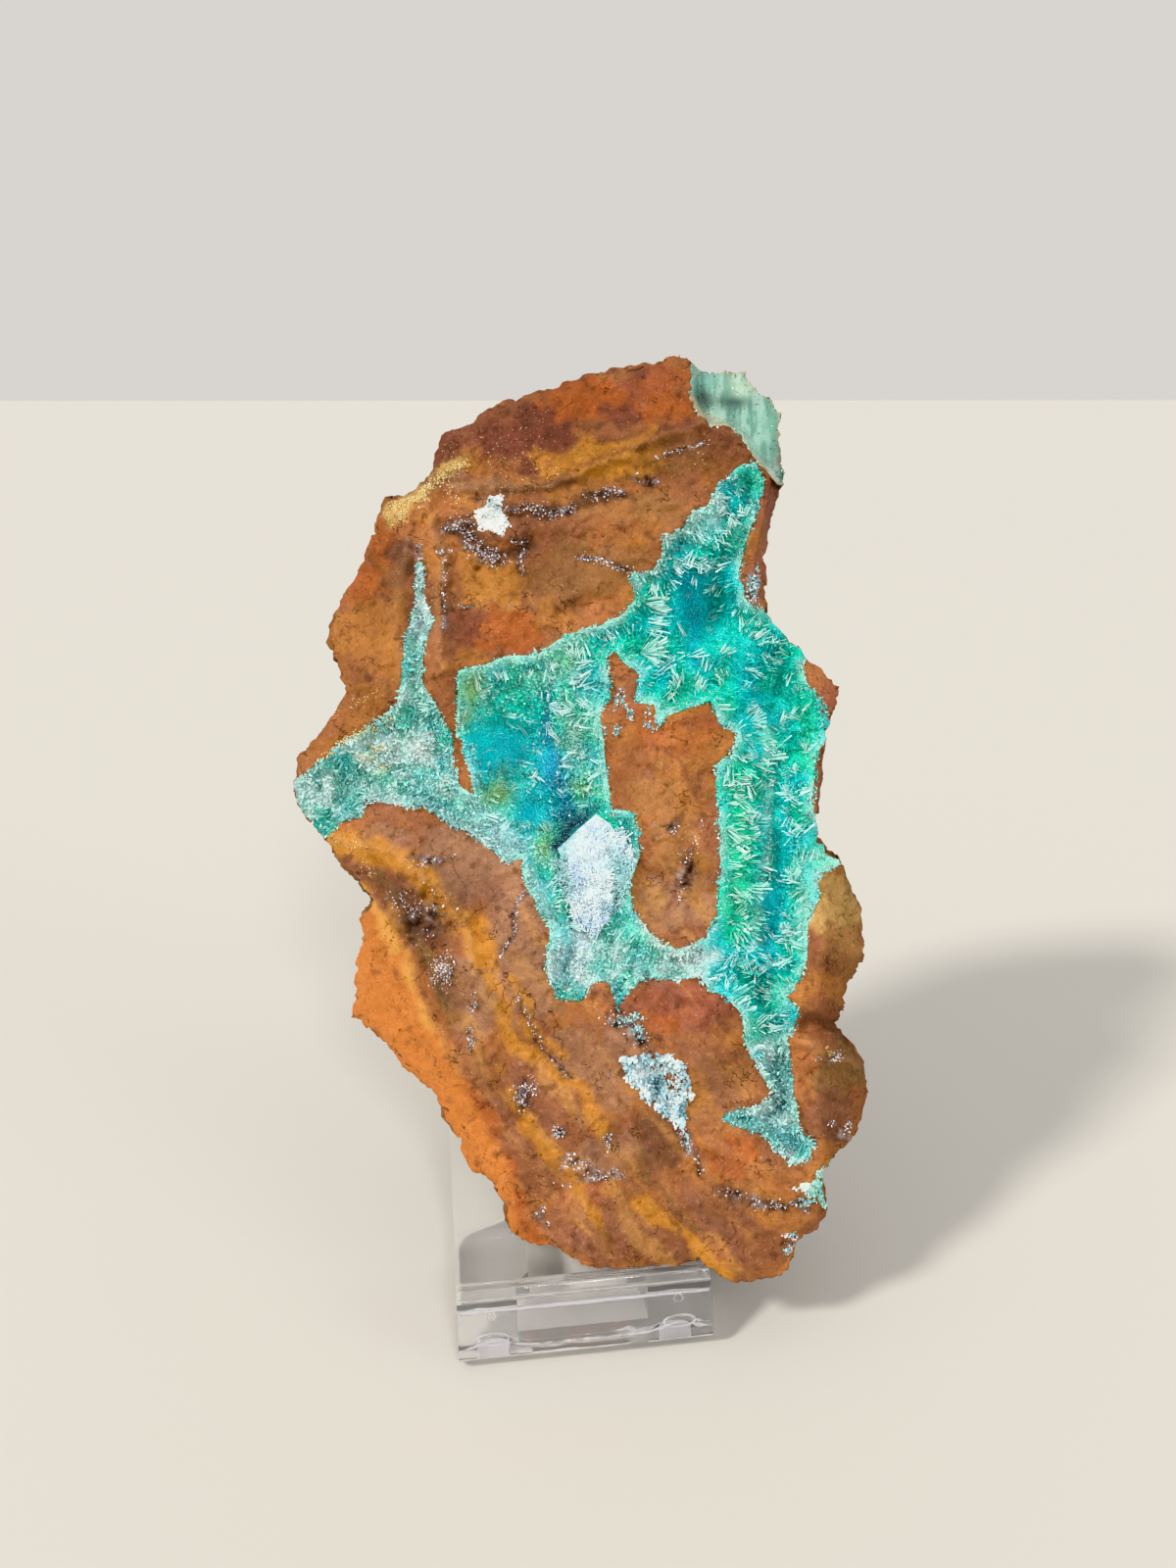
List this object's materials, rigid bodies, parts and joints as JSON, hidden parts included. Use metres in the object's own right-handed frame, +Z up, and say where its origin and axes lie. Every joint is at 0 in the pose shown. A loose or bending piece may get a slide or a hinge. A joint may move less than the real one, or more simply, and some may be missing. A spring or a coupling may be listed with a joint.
{
  "type": "hemimorphite with aurichalcite specimen",
  "caption": "Leaning slab of brown limonite whose front has a hollow lined with turquoise needle crystals, held upright by a small clear easel.",
  "frame": {"origin": "on the table, below the middle of the whole part's bounding box", "axes": "+Z up along the height, -Y towards the viewer of the crystal-lined front, X along the easel's width"},
  "size_m": [0.0922, 0.0734, 0.1494],
  "materials": {
    "limonite": "rough broken rock",
    "aurichalcite": "glassy needle crystals",
    "hemimorphite": "glassy crystal block",
    "green_crust": "fine crystal crust",
    "teal_druse": "sparkling fine crystals",
    "white_druse": "sugary fine crystals",
    "corner_crust": "fine crystal crust",
    "clear_acrylic": "clear polished acrylic"
  },
  "bodies": {
    "root": {"matrix": "limonite", "aurichalcite_crust": "aurichalcite", "hemimorphite_block": "hemimorphite", "edge_crust": "green_crust", "pocket_druse": "teal_druse", "white_druse": "white_druse", "corner_druse": "corner_crust", "stand": "clear_acrylic"}
  },
  "joints": []
}
